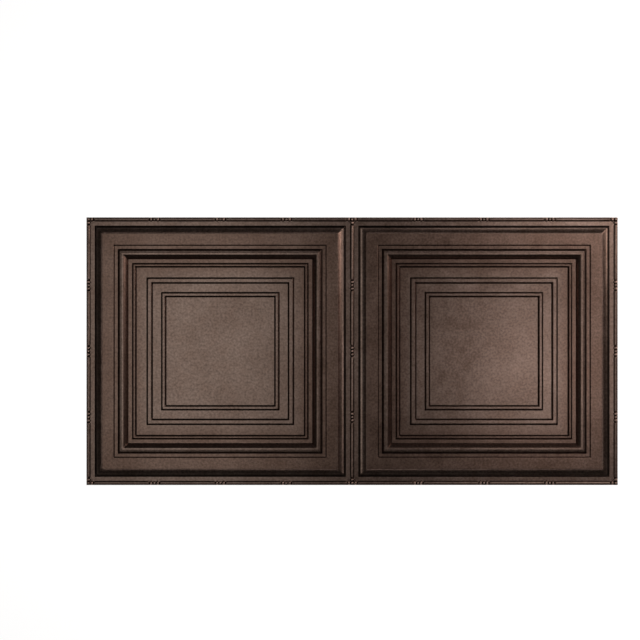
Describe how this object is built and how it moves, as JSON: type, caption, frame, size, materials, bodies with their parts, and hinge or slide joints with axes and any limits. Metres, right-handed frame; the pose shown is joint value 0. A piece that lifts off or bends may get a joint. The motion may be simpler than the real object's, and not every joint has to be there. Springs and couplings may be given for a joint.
{
  "type": "vinyl ceiling tile",
  "caption": "Thin thermoformed PVC ceiling tile with stepped, mitred square coffers and bead-and-reel edges that lap the next tile; its flat back is glued to a ceiling.",
  "frame": {"origin": "middle of the back plane, on which the border strip and the sunk fields lie", "axes": "+X along the length, across both coffers; +Y across the width; +Z out of the decorated face"},
  "size_m": [1.2288, 0.6192, 0.0131],
  "materials": {
    "bronze_vinyl": "satin dark bronze coat on PVC sheet"
  },
  "bodies": {
    "root": {"ceiling_tile": "bronze_vinyl"}
  },
  "joints": []
}
